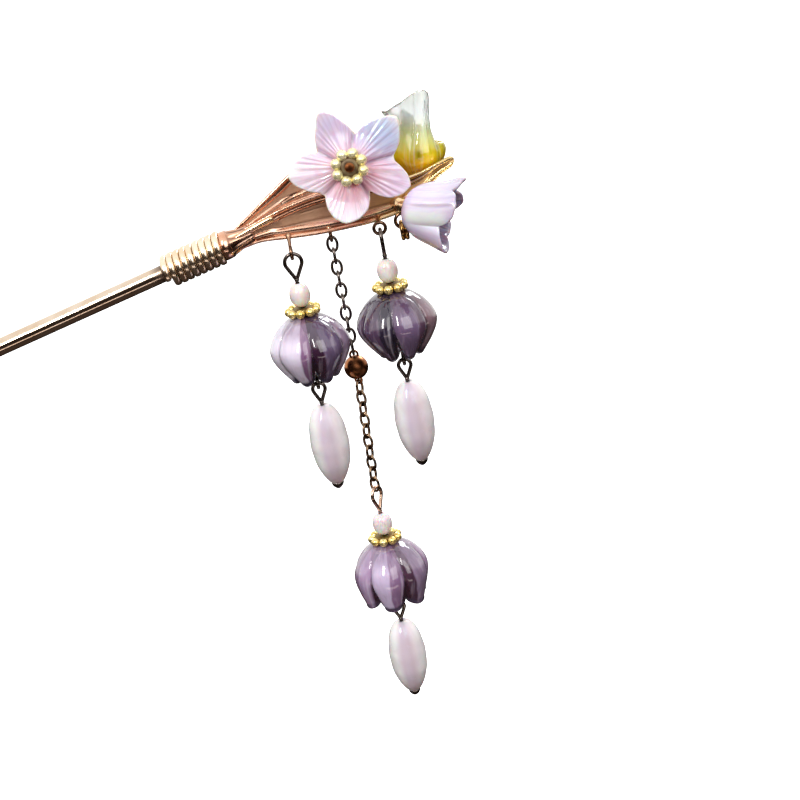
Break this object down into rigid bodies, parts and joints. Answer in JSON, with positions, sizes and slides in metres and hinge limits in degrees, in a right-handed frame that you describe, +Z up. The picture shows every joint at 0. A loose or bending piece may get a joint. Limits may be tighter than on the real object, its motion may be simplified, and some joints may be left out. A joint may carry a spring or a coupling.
{
  "type": "buyao hairpin",
  "caption": "Hair stick with a wire wrap, cast leaves, glass flowers, and drops of glass bells and rice pearls that hang free and sway.",
  "frame": {"origin": "on the shaft's axis, 55 mm from its point, where the hair holds the stick", "axes": "+X towards the head, level; the shaft rises 14 degrees towards the head. +Z up, against the pull on the drops. -Y is the front, which the flowers face"},
  "size_m": [0.1499, 0.0221, 0.0921],
  "materials": {
    "champagne": "polished light gold plating with darkened grooves",
    "copper": "brushed rose-copper plating with bright rims",
    "gold": "polished gold plating, dark in the recesses",
    "dark_gold": "antique gold plating",
    "dark_copper": "polished dark copper plating",
    "gunmetal": "polished gunmetal plating",
    "pink_glass": "glossy moulded petals with a pearly sheen, pink to pale blue",
    "yellow_glass": "glossy pressed glass, amber-yellow to clear grey at the tips",
    "lavender_glass": "pearly lilac pressed glass",
    "plum_glass": "opaque swirled plum and lilac lampwork glass, glossy",
    "lilac_glass": "opaque swirled lilac and mauve lampwork glass, glossy",
    "pink_bead": "milky pale pink glass",
    "pearl": "white nacre with a pink and grey sheen"
  },
  "bodies": {
    "root": {"hair_stick": "champagne", "wire_wrap": "champagne", "leaf_spray": "copper", "petal_flower": "pink_glass", "flower_spacer": "gold", "flower_pin": "dark_copper", "yellow_bell": "yellow_glass", "yellow_bell_pin": "gold", "lavender_bell": "lavender_glass", "lavender_pin": "gold", "binding_loop": "dark_gold", "chain_upper": "gunmetal", "chain_ball": "dark_copper", "chain_lower": "gunmetal"},
    "left_drop": {"eye_pin_left": "gunmetal", "bead_left": "pink_bead", "spacer_left": "gold", "glass_bell_left": "plum_glass"},
    "left_pearl": {"head_pin_left": "gunmetal", "pearl_left": "pearl"},
    "right_drop": {"eye_pin_right": "gunmetal", "bead_right": "pink_bead", "spacer_right": "gold", "glass_bell_right": "plum_glass"},
    "right_pearl": {"head_pin_right": "gunmetal", "pearl_right": "pearl"},
    "lower_drop": {"eye_pin_lower": "gunmetal", "bead_lower": "pink_bead", "spacer_lower": "gold", "glass_bell_lower": "lilac_glass"},
    "lower_pearl": {"head_pin_lower": "gunmetal", "pearl_lower": "pearl"}
  },
  "joints": [
    {"name": "left_swing", "type": "hinge", "parent": "root", "child": "left_drop", "pos_m": [0.07117, -0.0017, 0.01311], "axis": [-1, 0, 0], "range_deg": [0, 45]},
    {"name": "right_swing", "type": "hinge", "parent": "root", "child": "right_drop", "pos_m": [0.08367, -0.0017, 0.01308], "axis": [-1, 0, 0], "range_deg": [-10, 45]},
    {"name": "lower_swing", "type": "hinge", "parent": "root", "child": "lower_drop", "pos_m": [0.07622, 0.00235, -0.02607], "axis": [-0.8192, 0.5736, 0], "range_deg": [-45, 45]},
    {"name": "left_pearl_swing", "type": "hinge", "parent": "left_drop", "child": "left_pearl", "pos_m": [0.07117, -0.0017, -0.00677], "axis": [0, 1, 0], "range_deg": [-18, 18]},
    {"name": "right_pearl_swing", "type": "hinge", "parent": "right_drop", "child": "right_pearl", "pos_m": [0.08367, -0.0017, -0.00562], "axis": [0, 1, 0], "range_deg": [-18, 18]},
    {"name": "lower_pearl_swing", "type": "hinge", "parent": "lower_drop", "child": "lower_pearl", "pos_m": [0.07622, 0.00235, -0.04477], "axis": [0, 1, 0], "range_deg": [-18, 18]}
  ]
}
